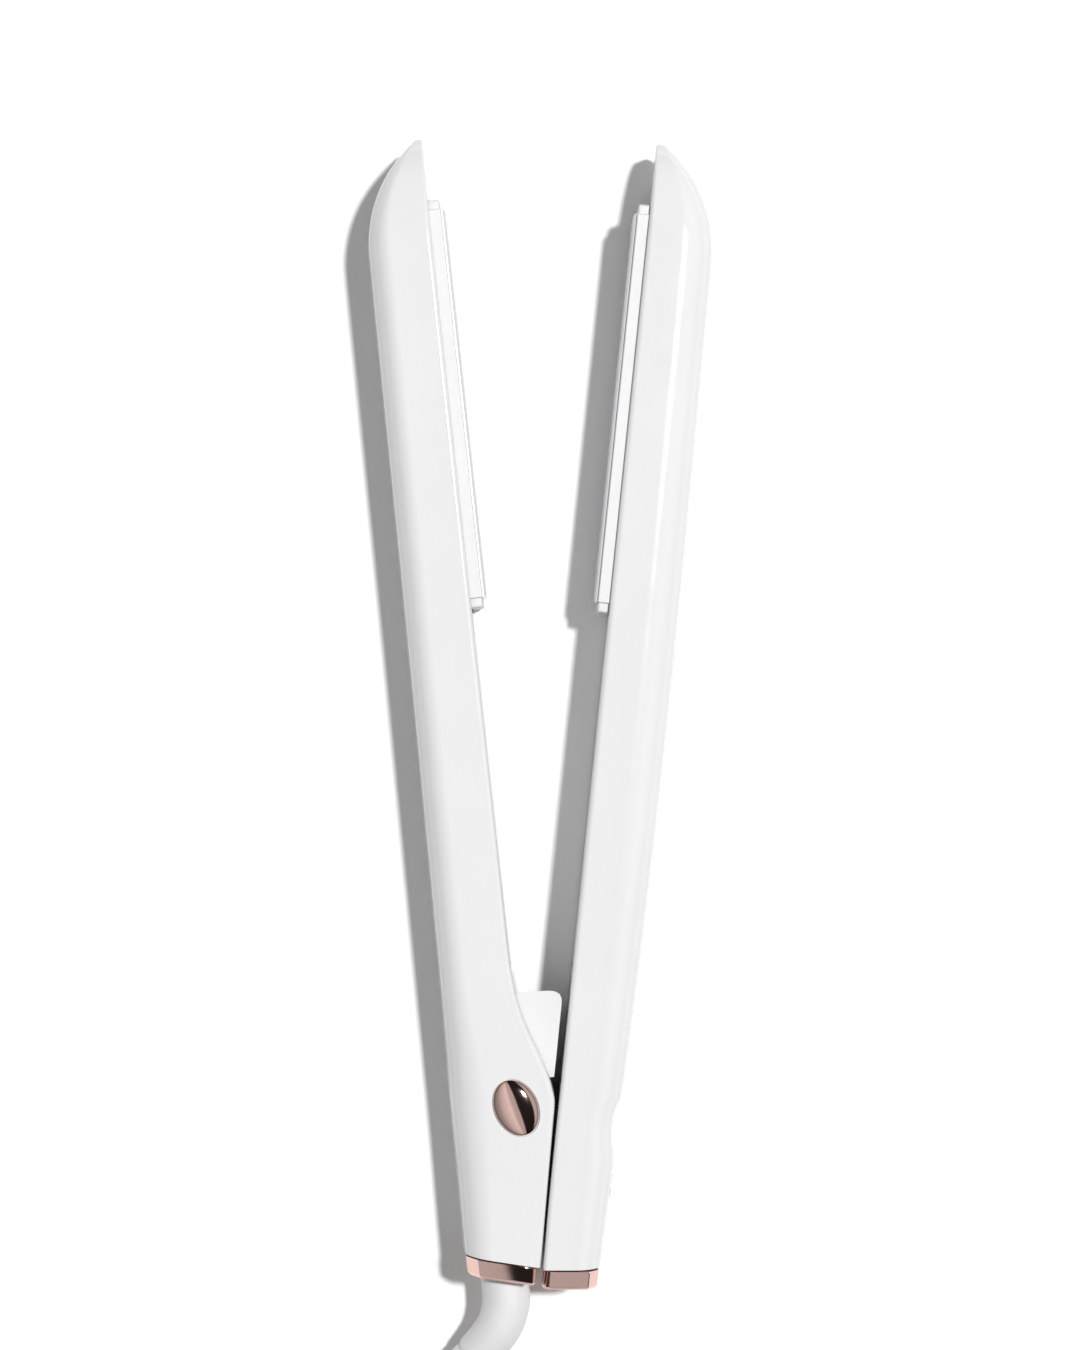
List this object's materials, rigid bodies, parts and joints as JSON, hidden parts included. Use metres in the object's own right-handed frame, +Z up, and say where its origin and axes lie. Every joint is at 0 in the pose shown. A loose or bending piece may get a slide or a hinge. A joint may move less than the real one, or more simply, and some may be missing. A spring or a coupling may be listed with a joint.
{
  "type": "flat iron",
  "caption": "White hair straightener lying open in a V on its side, with floating ceramic plates, rose-gold end caps, a sprung hinge and a coiled swivel cord.",
  "frame": {"origin": "on the hinge pin's axis, at the flat side that the iron rests on", "axes": "+Z up along the hinge pin, +Y from the tails towards the open tips, +X across to the right arm"},
  "size_m": [0.1185, 0.4501, 0.0332],
  "materials": {
    "gloss_shell": "gloss white moulded plastic",
    "satin_white": "satin white moulded plastic",
    "ceramic_plate": "pearl ceramic coating on aluminium",
    "rose_gold": "polished rose-gold plating",
    "steel": "plain steel",
    "brass": "plain brass",
    "nylon": "grey glass-filled nylon",
    "circuit_board": "green solder mask",
    "black_part": "black moulded parts",
    "heater": "alumina heater with its film",
    "light_window": "clear frosted light pipe",
    "cord_white": "soft satin white PVC",
    "tie": "white silicone strap",
    "wire": "silicone insulated wires"
  },
  "bodies": {
    "cord": {"cord_boot": "cord_white", "strain_relief": "cord_white", "power_cord": "cord_white", "cord_coil": "cord_white", "cord_tie": "tie", "plug_lead": "cord_white", "plug_body": "cord_white", "plug_blade_left": "brass", "plug_blade_right": "brass", "swivel_spindle": "nylon"},
    "left_arm": {"left_shell": "gloss_shell", "left_inner_cover": "satin_white", "left_end_cap": "rose_gold", "hinge_badge": "rose_gold", "hinge_rear_cap": "satin_white", "hinge_block": "satin_white", "hinge_pin": "steel", "hinge_bush_rear": "brass", "hinge_bush_front": "brass", "hinge_spring": "steel", "swivel_socket": "nylon", "swivel_contact_line": "brass", "swivel_contact_neutral": "brass", "left_harness": "wire", "left_screw_tail": "steel", "left_screw_tip": "steel", "left_float_spring_tail": "steel", "left_float_spring_tip": "steel"},
    "right_arm": {"right_shell": "gloss_shell", "right_inner_cover": "satin_white", "right_end_cap": "rose_gold", "hinge_lug": "nylon", "control_board": "circuit_board", "light_pipe": "light_window", "right_harness": "wire", "power_switch": "black_part", "heat_up_switch": "black_part", "heat_down_switch": "black_part", "right_screw_tail": "steel", "right_screw_tip": "steel", "right_float_spring_tail": "steel", "right_float_spring_tip": "steel"},
    "left_plate_float": {"left_carrier": "satin_white", "left_plate": "ceramic_plate", "left_heater": "heater", "left_heater_clamp": "steel", "left_thermistor": "black_part"},
    "right_plate_float": {"right_carrier": "satin_white", "right_plate": "ceramic_plate", "right_heater": "heater", "right_heater_clamp": "steel", "right_thermistor": "black_part"},
    "power_button": {"power_button": "gloss_shell"},
    "heat_up_button": {"heat_up_button": "gloss_shell"},
    "heat_down_button": {"heat_down_button": "gloss_shell"}
  },
  "joints": [
    {"name": "cord_swivel", "type": "hinge", "parent": "cord", "child": "left_arm", "pos_m": [-0.00345, -0.04262, 0.016], "axis": [0.1071, -0.9942, 0], "continuous": true},
    {"name": "arm_hinge", "type": "hinge", "parent": "left_arm", "child": "right_arm", "pos_m": [0, 0, 0.016], "axis": [0, 0, 1], "range_deg": [0, 12], "stiffness_Nm_per_rad": 0.9, "springref_deg": -20.05, "deforming": ["hinge_spring"]},
    {"name": "left_plate_slide", "type": "slide", "parent": "left_arm", "child": "left_plate_float", "axis": [-0.9942, -0.1071, 0], "range_m": [0, 0.0008], "stiffness_N_per_m": 3000, "springref_m": -0.001, "deforming": ["left_float_spring_tail", "left_float_spring_tip"]},
    {"name": "right_plate_slide", "type": "slide", "parent": "right_arm", "child": "right_plate_float", "axis": [0.9948, -0.1019, 0], "range_m": [0, 0.0008], "stiffness_N_per_m": 3000, "springref_m": -0.001, "deforming": ["right_float_spring_tail", "right_float_spring_tip"]},
    {"name": "power_press", "type": "slide", "parent": "right_arm", "child": "power_button", "axis": [-0.9948, 0.1019, 0], "range_m": [0, 0.0006], "stiffness_N_per_m": 1500, "springref_m": -0.0004},
    {"name": "heat_up_press", "type": "slide", "parent": "right_arm", "child": "heat_up_button", "axis": [-0.9948, 0.1019, 0], "range_m": [0, 0.0005], "stiffness_N_per_m": 1500, "springref_m": -0.0004},
    {"name": "heat_down_press", "type": "slide", "parent": "right_arm", "child": "heat_down_button", "axis": [-0.9948, 0.1019, 0], "range_m": [0, 0.0005], "stiffness_N_per_m": 1500, "springref_m": -0.0004}
  ]
}
